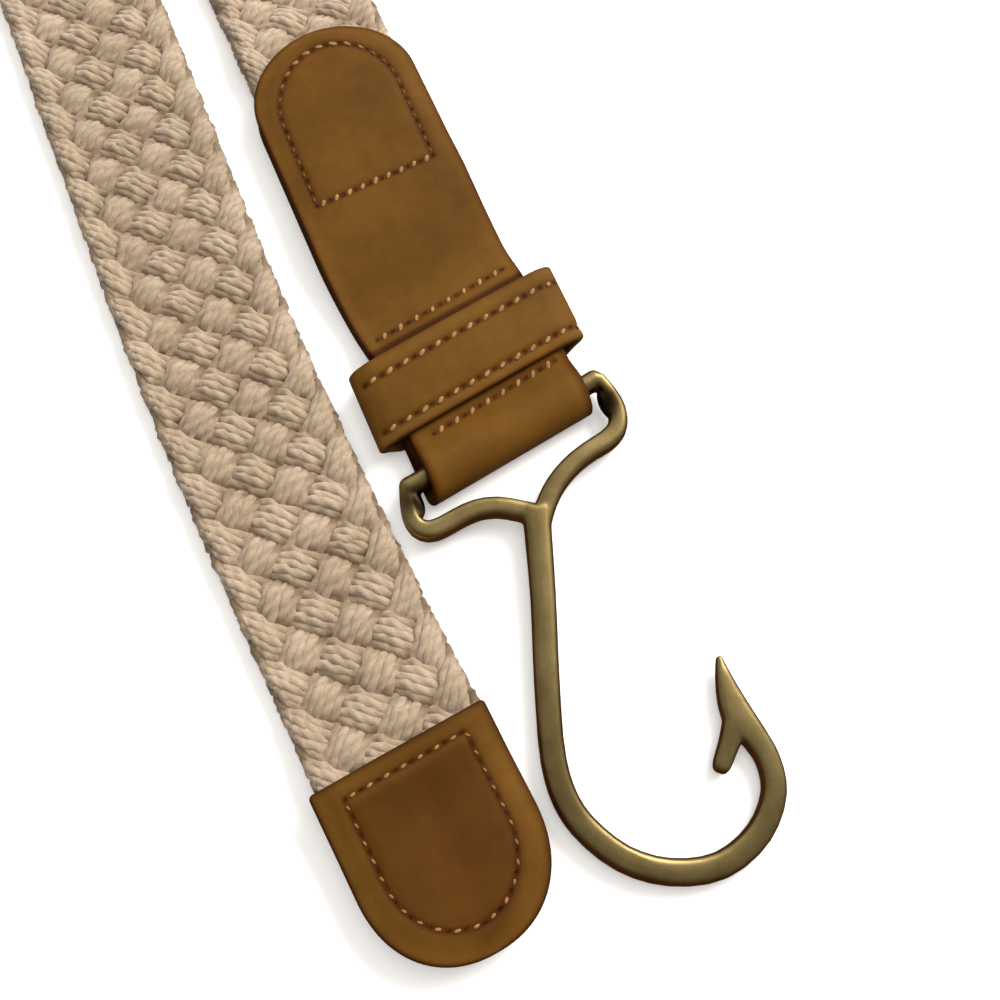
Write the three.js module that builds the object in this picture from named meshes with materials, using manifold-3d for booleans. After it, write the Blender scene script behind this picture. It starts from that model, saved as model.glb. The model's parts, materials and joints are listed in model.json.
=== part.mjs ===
// A braided rope belt with a brass fish-hook buckle, laid down on its side.
// Its tip end and its buckle end lie flat side by side, and the rest stands on edge in an open loop.
// Millimetres, +Z up. While the pieces are made, x and y are 0 at the middle of the hook's bar,
// +Y runs from there along the straps, and z is 0 on the surface that the belt lies on.
import * as THREE from 'three';
import { mergeVertices } from 'three/addons/utils/BufferGeometryUtils.js';
import Module from 'manifold-3d';

const wasm = await Module();
wasm.setup();

// The woven band
const BELT_LENGTH = 965; // from the bar to the end of the tip, along the belt
const BAND_WIDTH = 28.4;
const BAND_THICKNESS = 4.4;
const BAND_SQUARENESS = { across: 7, out: 2.6 }; // exponents of its section, where 2 is an ellipse
const PRESSED_THICKNESS = 2.6; // where leather is sewn over it
const SETTLE_INSIDE = 12; // how far inside the leather's edge the band is fully pressed
const SETTLE_OUTSIDE = 6; // how far outside it has its full thickness again
const DESCENT = 14; // length over which it comes down from the leather to the surface
const STRAP_ASIDE = -1.6; // the buckle strap's middle, beside the bar's

// Leather
const LEATHER = 1.6;
const CUT_EDGE = 0.35; // bevel of a cut edge
const GAP = 0.3; // clearance between pieces that touch

// The tip
const TIP_LENGTH = 32.3;
const TIP_WIDTH = 29.4;
const TIP_ROUNDING = 16; // length of its rounded end
const TIP_ROUNDNESS = 2.2; // exponent of the rounded end, where 2 is an ellipse
const TIP_ASIDE = -32.5;
const TIP_DROP = 72.9; // how far the tip reaches past the bar
const TIP_SKEW = 2.4; // degrees that its mouth is sewn off square
const TIP_OFFSET = 0.3; // how far its leathers sit to the left of the band's middle
const BAND_INSET = 1.3; // the band ends this far inside the leather's outline

// The buckle tab, one strip of leather folded round the bar
const TAB_LENGTH = 84.2;
const TAB_WIDTH = 30.6;
const FOLD_WIDTH = 28.8;
const TAB_ROUNDING = 13;
const TAB_ROUNDNESS = 2;
const FOLD_ASIDE = 0.9;
const FOLD_SWAY = 45; // length over which the tab sways from the bar to the strap's middle
const FOLD_SKEW = 9; // degrees that the bar and the keeper lie off square
const TAB_END_SKEW = 3;
const FOLD_REACH = 4.8; // from the bar's axis to the front of the fold
const FOLD_SEAM = 6; // from the bar's axis to where the two layers meet
const BAND_IN_TAB = 34; // length of band between the tab's layers
const BAND_RAMP = 24; // length over which the tab's layers part to take the band's end

// The keeper, a flat leather ring round the tab
const KEEPER_FROM_BAR = 14.3;
const KEEPER_WIDTH = 14.3;
const KEEPER_SPAN = 39.4;
const KEEPER_ASIDE = -0.35;
const KEEPER_PLAY = 0.5; // room above the tab
const KEEPER_CORNER = 2.9; // radius of its rounded ends, at the middle of the leather
const KEEPER_RAMP = 9; // length over which the tab comes down again beyond the keeper

// The hook, cast in one piece
const BAR_LENGTH = 37.4;
const BAR_DIAMETER = 3.5;
const BUCKLE_HALF_WIDTH = 19.1;
const SHOULDER_DROP = 15; // from the bar to where the shoulders meet
const ARM_START = 2; // width of each arm where it leaves the end of the bar
const SHOULDER_WIDTH = 3.3;
const SHOULDER_HEIGHT = 3.2;
const HOOK_LENGTH = 75.2; // from the bar to the middle of the wire at the bottom of the bend
const HOOK_REACH = 16; // from the bar's middle to the middle of the wire at its widest
const WIRE_WIDTH = 3.9;
const WIRE_HEIGHT = 3.6;
const CAST_ROUNDNESS = 4; // exponent of the wire's section, where 2 is an ellipse and more is flatter on top

// The way the belt is laid
const LAID_LEAN_LENGTH = 200; // stretch from the tip on that follows the lean table
const FLARE_ANGLE = 8; // degrees that each side of the loop spreads
const FLARE_RADIUS = 300;
const STRAIGHT_SHARE = 0.35; // the straight before the flare, as a share of the loop's side
const TWIST_LENGTH = 110;
const FLAT_FROM_BAR = 120; // the buckle strap lies flat up to here

// Lean of the tip strap to the left, in degrees, at shares of the laid length
const LEAN = [
  { along: 0, lean: 4.6 },
  { along: 0.175, lean: 3.8 },
  { along: 0.375, lean: 2.8 },
  { along: 0.55, lean: 0.2 },
  { along: 0.75, lean: -0.9 },
  { along: 1, lean: 0 },
];

// The hook's wire from the shoulders to the point. Aside is a share of the reach, down of the length,
// width and height of the wire's own.
const WIRE = [
  { aside: -0.02, down: 0.186, width: 1.14, height: 1 },
  { aside: -0.33, down: 0.37, width: 1.01, height: 1 },
  { aside: -0.64, down: 0.536, width: 0.99, height: 1 },
  { aside: -0.885, down: 0.685, width: 0.99, height: 1 },
  { aside: -0.93, down: 0.761, width: 1.01, height: 1 },
  { aside: -0.88, down: 0.822, width: 1.02, height: 1 },
  { aside: -0.66, down: 0.91, width: 1.02, height: 1 },
  { aside: -0.31, down: 0.971, width: 1.02, height: 1 },
  { aside: 0.156, down: 1, width: 1.02, height: 1 },
  { aside: 0.62, down: 0.975, width: 0.98, height: 1 },
  { aside: 0.92, down: 0.917, width: 0.93, height: 1 },
  { aside: 1.005, down: 0.856, width: 0.92, height: 0.98 },
  { aside: 0.98, down: 0.802, width: 1.04, height: 0.94 },
  { aside: 0.93, down: 0.755, width: 1.24, height: 0.86 },
  { aside: 0.935, down: 0.715, width: 1.05, height: 0.76 },
  { aside: 0.972, down: 0.665, width: 0.6, height: 0.6 },
  { aside: 1.015, down: 0.626, width: 0.2, height: 0.36 },
];

// The barb, a finger that turns back from the point, in the same shares
const BARB = [
  { aside: 0.86, down: 0.767, width: 1, height: 0.84 },
  { aside: 0.72, down: 0.797, width: 0.8, height: 0.74 },
  { aside: 0.59, down: 0.824, width: 0.72, height: 0.68 },
  { aside: 0.545, down: 0.834, width: 0.6, height: 0.6 },
  { aside: 0.523, down: 0.839, width: 0.36, height: 0.4 },
];

// Each side of the buckle below its end of the bar: arm, round corner and shoulder, to where the wire begins.
// Aside is a share of the half width, down of the drop, and width of the shoulder's.
const LEFT_SIDE = [
  { aside: -1, down: 0.34, width: 0.7 },
  { aside: -1.02, down: 0.5, width: 0.8 },
  { aside: -1, down: 0.64, width: 0.92 },
  { aside: -0.93, down: 0.72, width: 1 },
  { aside: -0.82, down: 0.735, width: 1 },
  { aside: -0.66, down: 0.708, width: 1 },
  { aside: -0.48, down: 0.7, width: 1 },
  { aside: -0.31, down: 0.76, width: 1 },
  { aside: -0.16, down: 0.88, width: 1 },
  { aside: -0.03, down: 1, width: 1 },
];
const RIGHT_SIDE = [
  { aside: 1, down: -0.02, width: 0.64 },
  { aside: 1.01, down: 0.15, width: 0.78 },
  { aside: 0.98, down: 0.32, width: 0.9 },
  { aside: 0.91, down: 0.45, width: 1 },
  { aside: 0.79, down: 0.52, width: 1.04 },
  { aside: 0.63, down: 0.555, width: 1 },
  { aside: 0.48, down: 0.605, width: 1 },
  { aside: 0.31, down: 0.7, width: 1 },
  { aside: 0.16, down: 0.83, width: 1 },
  { aside: 0.03, down: 1, width: 1 },
  { aside: -0.05, down: 1.16, width: 0.9 },
];

const SEAT = LEATHER + GAP; // height that one layer of leather lifts what lies on it
const FOLD_HEIGHT = BAR_DIAMETER / 2 + GAP + LEATHER; // the bar's axis above the surface

const radians = THREE.MathUtils.degToRad;
const mix = THREE.MathUtils.lerp;
const smooth = (x) => THREE.MathUtils.smoothstep(x, 0, 1);

// A closed body through rings of equally many points, with its ends capped unless the rings close on themselves
function loft(rings, looped = false) {
  const count = rings[0].length;
  const points = rings.flat();
  const faces = [];
  const spans = looped ? rings.length : rings.length - 1;
  for (let i = 0; i < spans; i++) {
    const here = i * count;
    const next = ((i + 1) % rings.length) * count;
    for (let j = 0; j < count; j++) {
      const k = (j + 1) % count;
      faces.push([here + j, here + k, next + k], [here + j, next + k, next + j]);
    }
  }
  if (!looped) {
    for (const [first, flip] of [[0, true], [(rings.length - 1) * count, false]]) {
      const ring = points.slice(first, first + count);
      const middle = points.length;
      const sum = ring.reduce((total, p) => total.add(p), new THREE.Vector3());
      points.push(sum.divideScalar(count));
      for (let j = 0; j < count; j++) {
        const k = (j + 1) % count;
        faces.push(flip ? [middle, first + k, first + j] : [middle, first + j, first + k]);
      }
    }
  }
  return facingOut(points, faces);
}

// A geometry whose faces point out, whichever way its rings were wound
function facingOut(points, faces) {
  const cross = new THREE.Vector3();
  const sixVolumes = faces.reduce((total, [a, b, c]) => {
    return total + cross.crossVectors(points[b], points[c]).dot(points[a]);
  }, 0);
  const turned = sixVolumes < 0 ? faces.map(([a, b, c]) => [a, c, b]) : faces;
  const geometry = new THREE.BufferGeometry();
  geometry.setAttribute('position', new THREE.Float32BufferAttribute(points.flatMap((p) => p.toArray()), 3));
  geometry.setIndex(turned.flat());
  return geometry;
}

// The value of one column of a table at a place between its rows
function tableValue(rows, key, place, column) {
  const after = rows.findIndex((row) => row[key] >= place);
  if (after <= 0) return rows[after < 0 ? rows.length - 1 : 0][column];
  const [from, to] = [rows[after - 1], rows[after]];
  return mix(from[column], to[column], (place - from[key]) / (to[key] - from[key]));
}

// The route of the belt: stations a few millimetres apart, each with its place and heading
function layRoute() {
  const step = 2.5;
  const stations = [];
  const at = { s: 0, x: TIP_ASIDE, y: -TIP_DROP };
  const walk = (length, headingAt) => {
    const steps = Math.max(1, Math.round(length / step));
    for (let i = 0; i < steps; i++) {
      const heading = radians(headingAt((i + 0.5) / steps));
      stations.push({ ...at, heading: radians(headingAt(i / steps)) });
      at.s += length / steps;
      at.x -= (Math.sin(heading) * length) / steps;
      at.y += (Math.cos(heading) * length) / steps;
    }
  };
  walk(LAID_LEAN_LENGTH, (share) => tableValue(LEAN, 'along', share, 'lean'));

  const flare = radians(FLARE_ANGLE);
  const halfGap = (STRAP_ASIDE - at.x) / 2;
  const topTurn = Math.PI + 2 * flare;
  const flareLength = FLARE_RADIUS * flare;
  const topStart = (halfGap + FLARE_RADIUS * (1 - Math.cos(flare))) / Math.cos(flare);
  const spare = BELT_LENGTH - LAID_LEAN_LENGTH - at.y - 2 * flareLength - topTurn * topStart;
  const side = spare / (2 + 2 * STRAIGHT_SHARE + topTurn * Math.tan(flare));
  const topRadius = topStart + side * Math.tan(flare);
  const straight = STRAIGHT_SHARE * side;
  const returning = straight + at.y;

  walk(straight, () => 0);
  walk(flareLength, (share) => FLARE_ANGLE * share);
  walk(side, () => FLARE_ANGLE);
  walk(topRadius * topTurn, (share) => FLARE_ANGLE - (180 + 2 * FLARE_ANGLE) * share);
  walk(side, () => -180 - FLARE_ANGLE);
  walk(flareLength, (share) => -180 - FLARE_ANGLE * (1 - share));
  walk(returning, () => -180);
  stations.push({ ...at, heading: radians(-180) });
  return stations;
}

const route = layRoute();

// Place and heading on the route at a distance from the tip's end
function onRoute(s) {
  const after = Math.min(route.length - 1, Math.max(1, route.findIndex((p) => p.s >= s)));
  const [from, to] = [route[after - 1], route[after]];
  const share = (s - from.s) / (to.s - from.s);
  return {
    x: mix(from.x, to.x, share),
    y: mix(from.y, to.y, share),
    heading: mix(from.heading, to.heading, share),
  };
}

// Turn of the band about its own length: 0 lies on its back, 90 stands on edge, 180 lies on its face
function bandTurn(s) {
  const up = smooth((s - LAID_LEAN_LENGTH) / TWIST_LENGTH);
  const over = smooth((s - (BELT_LENGTH - FLAT_FROM_BAR - TWIST_LENGTH)) / TWIST_LENGTH);
  return (Math.PI / 2) * (up + over);
}

// How far a place on the band lies outside the nearer leather, negative inside it
const outsideLeather = (s) => Math.min(s - TIP_LENGTH, BELT_LENGTH - TAB_LENGTH - s);

function bandThickness(s) {
  const released = smooth((outsideLeather(s) + SETTLE_INSIDE) / (SETTLE_INSIDE + SETTLE_OUTSIDE));
  return mix(PRESSED_THICKNESS, BAND_THICKNESS, released);
}

// Height of the band's underside where it lies on a layer of leather or comes down from it
const bandSeat = (s) => SEAT * (1 - smooth(outsideLeather(s) / DESCENT));

// A point of the band's own space: s along it, u across to the right of its way, w out of its face
function bandPoint(s, u, w) {
  const { x, y, heading } = onRoute(s);
  const turn = bandTurn(s);
  const halfWidth = (BAND_WIDTH / 2) * Math.abs(Math.sin(turn));
  const halfThickness = (bandThickness(s) / 2) * Math.abs(Math.cos(turn));
  const left = new THREE.Vector3(-Math.cos(heading), -Math.sin(heading), 0);
  const face = new THREE.Vector3(0, 0, Math.cos(turn)).addScaledVector(left, Math.sin(turn));
  const right = new THREE.Vector3(0, 0, Math.sin(turn)).addScaledVector(left, -Math.cos(turn));
  return new THREE.Vector3(x, y, bandSeat(s) + halfWidth + halfThickness)
    .addScaledVector(right, u)
    .addScaledVector(face, w);
}

// Half the width of a strap at a distance from its rounded end
function roundedHalfWidth(distance, width, rounding, roundness) {
  const flatEnd = 0.2; // share of the width that the very end keeps
  const inward = Math.max(0, 1 - distance / rounding);
  const share = (1 - inward ** roundness) ** (1 / roundness);
  return (width / 2) * Math.max(flatEnd, share);
}

// Distances from a rounded end at which its outline needs a row
const roundedRows = (rounding) => [0, 1, 2, 3, 4, 5, 6, 7].map((i) => rounding * (1 - Math.cos((Math.PI * i) / 14)));

// Section of a leather strap of a half width, as points across and out of it
function leatherSection(halfWidth) {
  const [edge, face] = [halfWidth - CUT_EDGE, LEATHER / 2];
  const bevel = face - CUT_EDGE;
  return [
    [-edge, -face], [edge, -face], [halfWidth, -bevel], [halfWidth, bevel],
    [edge, face], [-edge, face], [-halfWidth, bevel], [-halfWidth, -bevel],
  ];
}

// A ring of points on a softly squared section, as shares of its half width and half height
function squaredSection(sides, acrossExponent, outExponent) {
  return Array.from({ length: sides }, (_, i) => {
    const angle = (2 * Math.PI * (i + 0.5)) / sides;
    const [c, s] = [Math.cos(angle), Math.sin(angle)];
    return [Math.sign(c) * Math.abs(c) ** (2 / acrossExponent), Math.sign(s) * Math.abs(s) ** (2 / outExponent)];
  });
}

// The woven band, one solid with rounded edges and with its ends sewn into the leathers
function makeBand() {
  const fineStep = 3; // at the ends, where it settles into the leather
  const coarseStep = 6;
  const sides = 12;
  const end = BELT_LENGTH - TAB_LENGTH + BAND_IN_TAB;
  const places = roundedRows(TIP_ROUNDING).map((v) => BAND_INSET + v);
  let s = BAND_INSET + TIP_ROUNDING + fineStep;
  while (s < end - fineStep / 2) {
    places.push(s);
    s += outsideLeather(s) < 2 * DESCENT ? fineStep : coarseStep;
  }
  places.push(end);
  const section = squaredSection(sides, BAND_SQUARENESS.across, BAND_SQUARENESS.out);
  const rings = places.map((place) => {
    const trimmed = TIP_WIDTH - 2 * BAND_INSET;
    const inTip = roundedHalfWidth(place - BAND_INSET, trimmed, TIP_ROUNDING, TIP_ROUNDNESS);
    const half = place < TIP_LENGTH ? inTip : BAND_WIDTH / 2;
    return section.map(([u, w]) => bandPoint(place, u * half, (w * bandThickness(place)) / 2));
  });
  return loft(rings);
}

// One leather of the tip. The front lies on the band and the back lies under it.
function makeTipLeather(front) {
  const rows = roundedRows(TIP_ROUNDING);
  for (const share of [0.25, 0.5, 0.75, 0.93, 1]) rows.push(mix(TIP_ROUNDING, TIP_LENGTH, share));
  const rings = rows.map((s) => {
    const { x, y, heading } = onRoute(s);
    const cornerLoss = s === TIP_LENGTH ? CUT_EDGE * 2 : 0;
    const half = roundedHalfWidth(s, TIP_WIDTH, TIP_ROUNDING, TIP_ROUNDNESS) - cornerLoss;
    const middle = (front ? bandSeat(s) + bandThickness(s) + GAP : 0) + LEATHER / 2;
    const skew = Math.tan(radians(TIP_SKEW * (s / TIP_LENGTH)));
    const right = new THREE.Vector3(Math.cos(heading), Math.sin(heading), 0);
    const onward = new THREE.Vector3(-Math.sin(heading), Math.cos(heading), 0);
    return leatherSection(half).map(([u, w]) => new THREE.Vector3(x, y, middle + w)
      .addScaledVector(right, u - TIP_OFFSET)
      .addScaledVector(onward, u * skew));
  });
  return loft(rings);
}

// Skew of the buckle end, as a slope, at a distance from the bar
function tabSkew(v) {
  const keeperEnd = KEEPER_FROM_BAR + KEEPER_WIDTH / 2;
  const share = THREE.MathUtils.clamp((v - keeperEnd) / (TAB_LENGTH - keeperEnd), 0, 1);
  return Math.tan(radians(mix(FOLD_SKEW, TAB_END_SKEW, share)));
}

// A point of the buckle end: x beside the bar's middle, v along the strap, both skewed with the bar
const buckleEndPoint = (x, v, z) => new THREE.Vector3(x, v + x * tabSkew(v), z);

// Height of the middle of the tab's back layer, which passes over the keeper's under side
function backLayerHeight(v) {
  const keeperStart = KEEPER_FROM_BAR - KEEPER_WIDTH / 2;
  const keeperEnd = KEEPER_FROM_BAR + KEEPER_WIDTH / 2;
  const rise = smooth(v / (keeperStart - GAP));
  const fall = smooth((v - keeperEnd - GAP) / KEEPER_RAMP);
  return LEATHER / 2 + SEAT * (rise - fall);
}

// Height of the middle of the tab's front layer, which leaves the fold, closes on the back and covers the band
function frontLayerHeight(v) {
  const overBar = 2 * FOLD_HEIGHT - LEATHER - SEAT;
  const bandEnd = TAB_LENGTH - BAND_IN_TAB;
  const open = overBar * (1 - smooth(v / FOLD_SEAM));
  const filled = (bandThickness(BELT_LENGTH - v) + GAP) * smooth((v - bandEnd + BAND_RAMP + 1) / BAND_RAMP);
  return backLayerHeight(v) + SEAT + open + filled;
}

// The tab: down the front, round the bar and up the back
function makeTab() {
  const step = 2;
  const foldStep = 1;
  const rows = roundedRows(TAB_ROUNDING).map((d) => TAB_LENGTH - d);
  for (let v = TAB_LENGTH - TAB_ROUNDING - step; v > foldStep / 2; ) {
    rows.push(v);
    v -= v < FOLD_SEAM + step ? foldStep : step;
  }
  const front = rows.map((v) => ({ v, z: frontLayerHeight(v), end: TAB_LENGTH - v }));
  const back = rows.map((v) => ({ v, z: backLayerHeight(v), end: TAB_LENGTH - v })).reverse();
  const fold = [];
  const foldSteps = 10;
  for (let i = 0; i <= foldSteps; i++) {
    const angle = Math.PI * (0.5 + i / foldSteps);
    fold.push({
      v: (FOLD_REACH - LEATHER / 2) * Math.cos(angle),
      z: FOLD_HEIGHT + (FOLD_HEIGHT - LEATHER / 2) * Math.sin(angle),
      end: TAB_LENGTH,
    });
  }
  const line = [...front, ...fold, ...back];
  const rings = line.map(({ v, z, end }, i) => {
    const [before, after] = [line[Math.max(0, i - 1)], line[Math.min(line.length - 1, i + 1)]];
    const along = new THREE.Vector2(after.v - before.v, after.z - before.z).normalize();
    const sway = smooth(v / FOLD_SWAY);
    const width = mix(FOLD_WIDTH, TAB_WIDTH, sway);
    const middle = mix(FOLD_ASIDE, STRAP_ASIDE, sway);
    const half = roundedHalfWidth(end, width, TAB_ROUNDING, TAB_ROUNDNESS);
    return leatherSection(half).map(([u, w]) => buckleEndPoint(middle + u, v + along.y * w, z - along.x * w));
  });
  return loft(rings);
}

// The keeper: a strip of leather that goes round the tab and closes on itself
function makeKeeper() {
  const halfSpan = (KEEPER_SPAN - LEATHER) / 2 - KEEPER_CORNER;
  const low = LEATHER / 2;
  const high = frontLayerHeight(KEEPER_FROM_BAR) + LEATHER + KEEPER_PLAY;
  const corners = [
    { x: halfSpan, z: low + KEEPER_CORNER, from: -90 },
    { x: halfSpan, z: high - KEEPER_CORNER, from: 0 },
    { x: -halfSpan, z: high - KEEPER_CORNER, from: 90 },
    { x: -halfSpan, z: low + KEEPER_CORNER, from: 180 },
  ];
  const cornerSteps = 4;
  const rings = corners.flatMap(({ x, z, from }) => {
    return Array.from({ length: cornerSteps + 1 }, (_, i) => {
      const angle = radians(from + (90 * i) / cornerSteps);
      const [out, up] = [Math.cos(angle), Math.sin(angle)];
      return leatherSection(KEEPER_WIDTH / 2).map(([u, w]) => {
        const reach = KEEPER_CORNER + w;
        return buckleEndPoint(KEEPER_ASIDE + x + out * reach, KEEPER_FROM_BAR + u, z + up * reach);
      });
    });
  });
  return loft(rings, true);
}

// Height of the middle of the hook at a distance below the bar: it slopes until the bend rests on the surface
const hookHeight = (down) => mix(FOLD_HEIGHT, WIRE_HEIGHT / 2, down / HOOK_LENGTH);

// A piece of cast wire through a table of places, with a softly squared section
function castWire(rows, sides, stepsPerRow) {
  const path = new THREE.CatmullRomCurve3(rows.map((r) => new THREE.Vector3(r.x, r.y, 0)));
  const sizes = new THREE.CatmullRomCurve3(rows.map((r) => new THREE.Vector3(r.width, r.height, 0)));
  const steps = (rows.length - 1) * stepsPerRow;
  const section = squaredSection(sides, CAST_ROUNDNESS, CAST_ROUNDNESS);
  const rings = Array.from({ length: steps + 1 }, (_, i) => {
    const centre = path.getPoint(i / steps);
    const along = path.getTangent(i / steps);
    const size = sizes.getPoint(i / steps);
    return section.map(([u, w]) => {
      const [across, up] = [(size.x / 2) * u, (size.y / 2) * w];
      const [x, y] = [centre.x + along.y * across, centre.y - along.x * across];
      return new THREE.Vector3(x, y, hookHeight(-centre.y) + up);
    });
  });
  return loft(rings);
}

const toSolid = (geometry) => {
  const bare = mergeVertices(geometry);
  const mesh = new wasm.Mesh({
    numProp: 3,
    vertProperties: new Float32Array(bare.getAttribute('position').array),
    triVerts: new Uint32Array(bare.getIndex().array),
  });
  return new wasm.Manifold(mesh);
};

function toGeometry(solid) {
  const mesh = solid.getMesh();
  const geometry = new THREE.BufferGeometry();
  geometry.setAttribute('position', new THREE.Float32BufferAttribute(mesh.vertProperties, 3));
  geometry.setIndex(Array.from(mesh.triVerts));
  return geometry;
}

// The hook: bar, two arms, two shoulders, the wire with its point, and the barb, cast as one
function makeHook() {
  const wireRow = ({ aside, down, width, height }) => ({
    x: aside * HOOK_REACH, y: -down * HOOK_LENGTH, width: width * WIRE_WIDTH, height: height * WIRE_HEIGHT,
  });
  const sideRow = ({ aside, down, width }) => ({
    x: aside * BUCKLE_HALF_WIDTH, y: -down * SHOULDER_DROP, width: width * SHOULDER_WIDTH, height: SHOULDER_HEIGHT,
  });
  const skew = radians(FOLD_SKEW);
  const barEnd = (side) => ({
    x: (side * BAR_LENGTH * Math.cos(skew)) / 2, y: (side * BAR_LENGTH * Math.sin(skew)) / 2,
  });
  const sideWire = (side, table) => {
    const start = { ...barEnd(side), width: ARM_START, height: SHOULDER_HEIGHT };
    return castWire([start, ...table.map(sideRow)], 12, 2);
  };
  const roundedEnd = (side) => {
    const ball = new THREE.SphereGeometry(WIRE_HEIGHT / 2, 14, 9);
    ball.deleteAttribute('normal');
    ball.deleteAttribute('uv');
    const { x, y } = barEnd(side);
    const inward = (side * (WIRE_HEIGHT - ARM_START)) / 2;
    return ball.translate(x - inward * Math.cos(skew), y - inward * Math.sin(skew), FOLD_HEIGHT);
  };
  const bar = new THREE.CylinderGeometry(BAR_DIAMETER / 2, BAR_DIAMETER / 2, BAR_LENGTH, 16);
  bar.deleteAttribute('normal');
  bar.deleteAttribute('uv');
  bar.rotateZ(Math.PI / 2 + skew).translate(0, 0, FOLD_HEIGHT);
  const pieces = [
    bar, roundedEnd(-1), roundedEnd(1), sideWire(-1, LEFT_SIDE), sideWire(1, RIGHT_SIDE),
    castWire(WIRE.map(wireRow), 14, 3),
    castWire(BARB.map(wireRow), 12, 2),
  ];
  return toGeometry(pieces.map(toSolid).reduce((joined, piece) => joined.add(piece)));
}

const cotton = { color: 0xd0b79c, roughness: 0.95, metalness: 0 };
const tanLeather = { color: 0xa8703a, roughness: 0.6, metalness: 0 };
const brass = { color: 0xb89a58, roughness: 0.35, metalness: 1 };

const belt = new THREE.Group();
const addPiece = (name, geometry, finish) => {
  const mesh = new THREE.Mesh(geometry, new THREE.MeshStandardMaterial(finish));
  mesh.name = name;
  belt.add(mesh);
};
addPiece('braid_band', makeBand(), cotton);
addPiece('tip_front', makeTipLeather(true), tanLeather);
addPiece('tip_back', makeTipLeather(false), tanLeather);
addPiece('buckle_tab', makeTab(), tanLeather);
addPiece('keeper', makeKeeper(), tanLeather);
addPiece('hook', makeHook(), brass);

// The belt's own origin is under the middle of its outline, on the surface it lies on
const outline = new THREE.Box3().setFromObject(belt);
const centre = outline.getCenter(new THREE.Vector3());
belt.position.set(-centre.x, -centre.y, -outline.min.z);

export default belt;
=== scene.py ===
# A braided rope belt: a flat plait of soft cotton yarn, a stitched leather tip, a stitched leather tab and
# keeper, and a cast brass fish-hook buckle. Shapes are worked out in millimetres from the point of the table
# that lies under the middle of the hook's bar.
import json
import math
from collections import namedtuple

import bmesh
import bpy
import numpy as np
from mathutils import Matrix, Vector


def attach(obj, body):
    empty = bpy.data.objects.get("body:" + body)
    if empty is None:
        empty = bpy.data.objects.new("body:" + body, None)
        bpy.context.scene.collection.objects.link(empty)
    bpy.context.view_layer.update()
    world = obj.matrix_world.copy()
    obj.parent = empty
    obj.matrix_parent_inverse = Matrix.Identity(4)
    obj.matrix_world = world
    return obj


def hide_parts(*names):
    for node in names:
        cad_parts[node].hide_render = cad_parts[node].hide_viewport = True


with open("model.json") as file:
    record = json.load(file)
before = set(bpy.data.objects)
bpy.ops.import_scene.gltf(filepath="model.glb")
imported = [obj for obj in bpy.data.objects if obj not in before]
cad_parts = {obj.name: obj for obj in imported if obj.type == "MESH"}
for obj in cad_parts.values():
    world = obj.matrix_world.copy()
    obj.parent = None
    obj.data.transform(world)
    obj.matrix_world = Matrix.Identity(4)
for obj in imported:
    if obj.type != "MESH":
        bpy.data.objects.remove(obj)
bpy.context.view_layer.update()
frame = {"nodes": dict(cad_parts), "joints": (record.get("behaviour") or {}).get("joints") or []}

MM = 0.001
SWING = next(joint for joint in frame["joints"] if joint["name"] == "hook_swing")
BAR = np.array(SWING["pos_m"]) / MM

# The woven band
BELT_LENGTH = 965
BAND_WIDTH = 28.4
BAND_THICKNESS = 4.4
PRESSED_THICKNESS = 2.6
SETTLE_INSIDE = 12
SETTLE_OUTSIDE = 6
DESCENT = 14
STRAP_ASIDE = -1.6

# The leathers
LEATHER = 1.6
GAP = 0.3
SEAT = LEATHER + GAP
TIP_LENGTH = 32.3
TIP_WIDTH = 29.4
TIP_ROUNDING = 16
TIP_ROUNDNESS = 2.2
TIP_CORNER = 0.8
TIP_ASIDE = -32.5
TIP_DROP = 72.9
TIP_SKEW = 2.4
TIP_OFFSET = 0.3
BAND_INSET = 1.3
TAB_LENGTH = 84.2
TAB_WIDTH = 30.6
FOLD_WIDTH = 28.8
TAB_ROUNDING = 13
TAB_ROUNDNESS = 2
FOLD_ASIDE = 0.9
FOLD_SWAY = 45
FOLD_SKEW = 9
TAB_END_SKEW = 3
FOLD_REACH = 4.8
FOLD_SEAM = 6
FOLD_SPREAD = 1.1  # how much further the soft fold has spread to the left
FOLD_SPREAD_UNDER = 1.1  # and how much more its lower layer has
FOLD_HEIGHT = BAR[2]
BAND_IN_TAB = 34
BAND_RAMP = 24
KEEPER_FROM_BAR = 14.3
KEEPER_WIDTH = 14.3
KEEPER_END = KEEPER_FROM_BAR + KEEPER_WIDTH / 2
KEEPER_SPAN = 39.4
KEEPER_ASIDE = -0.35
KEEPER_PLAY = 0.5
KEEPER_CORNER = 2.9
KEEPER_RAMP = 9

# How far the leathers are pressed down round their edges and give way
TIP_PRESSED = 0.75
TAB_PRESSED = 0.55
KEEPER_SAG = 0.55
KEEPER_BOW = 0.22
KEEPER_PINCH = 0.4

# How the belt is laid
LAID_LEAN_LENGTH = 200
FLARE_ANGLE = 8
FLARE_RADIUS = 300
STRAIGHT_SHARE = 0.35
TWIST_LENGTH = 110
FLAT_FROM_BAR = 120
LEAN_PLACES = [0, 0.175, 0.375, 0.55, 0.75, 1]  # shares of the length that lies flat from the tip
LEAN_DEGREES = [4.6, 3.8, 2.8, 0.2, -0.9, 0]

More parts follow.
